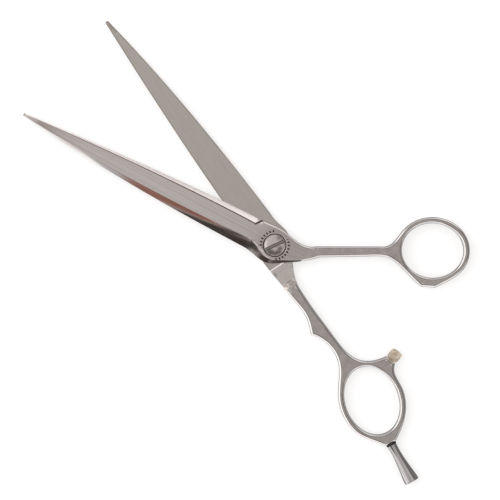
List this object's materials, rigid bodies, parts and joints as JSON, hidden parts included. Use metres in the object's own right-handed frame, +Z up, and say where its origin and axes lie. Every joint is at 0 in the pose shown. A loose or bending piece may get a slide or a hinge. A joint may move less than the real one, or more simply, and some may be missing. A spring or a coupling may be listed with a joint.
{
  "type": "hair cutting shears",
  "caption": "Long straight-bladed hair cutting shears with a slotted tension screw, offset thumb ring, rubber bumper and screw-in finger rest, lying open.",
  "frame": {"origin": "on the pivot axis, in the plane that the shears lie on, which is the outer face of the pivot nut and of the still half's hub", "axes": "+Z up the pivot axis towards the slotted screw head, +Y from the pivot towards the still blade's tip, +X towards the thumb ring's side"},
  "size_m": [0.1047, 0.2066, 0.0064],
  "materials": {
    "blade_steel": "polished stainless steel, with fine-ground blade faces",
    "screw_steel": "turned and polished stainless steel",
    "spring_steel": "bright spring steel",
    "bearing_plastic": "black moulded nylon",
    "silicone": "clear silicone rubber, slightly yellowed",
    "black_rubber": "matt black rubber"
  },
  "bodies": {
    "still_half": {"still_blade": "blade_steel", "pivot_nut": "screw_steel", "bumper": "silicone", "bumper_stud": "screw_steel"},
    "moving_half": {"moving_blade": "blade_steel", "pivot_bushing": "bearing_plastic"},
    "tension_screw": {"pivot_screw": "screw_steel", "spring_washer": "spring_steel"},
    "rest_washer": {"finger_rest_washer": "black_rubber"},
    "finger_rest": {"finger_rest": "blade_steel", "finger_rest_stud": "screw_steel"}
  },
  "joints": [
    {"name": "blade_pivot", "type": "hinge", "parent": "still_half", "child": "moving_half", "pos_m": [0, 0, 0.003], "axis": [0, 0, 1], "range_deg": [-25, 105]},
    {"name": "screw_turn", "type": "hinge", "parent": "still_half", "child": "tension_screw", "pos_m": [0, 0, 0.003], "axis": [0, 0, 1], "range_deg": [-90, 90]},
    {"name": "rest_travel", "type": "slide", "parent": "still_half", "child": "rest_washer", "axis": [-0.1426, -0.9898, 0], "range_m": [0, 0.003]},
    {"name": "rest_turn", "type": "hinge", "parent": "rest_washer", "child": "finger_rest", "pos_m": [-0.0103, -0.08536, 0.00288], "axis": [-0.1426, -0.9898, 0], "range_deg": [0, 2161]}
  ],
  "couplings": [
    {"joint": "rest_turn", "follows": "rest_travel", "rad_per_m": 12566}
  ]
}
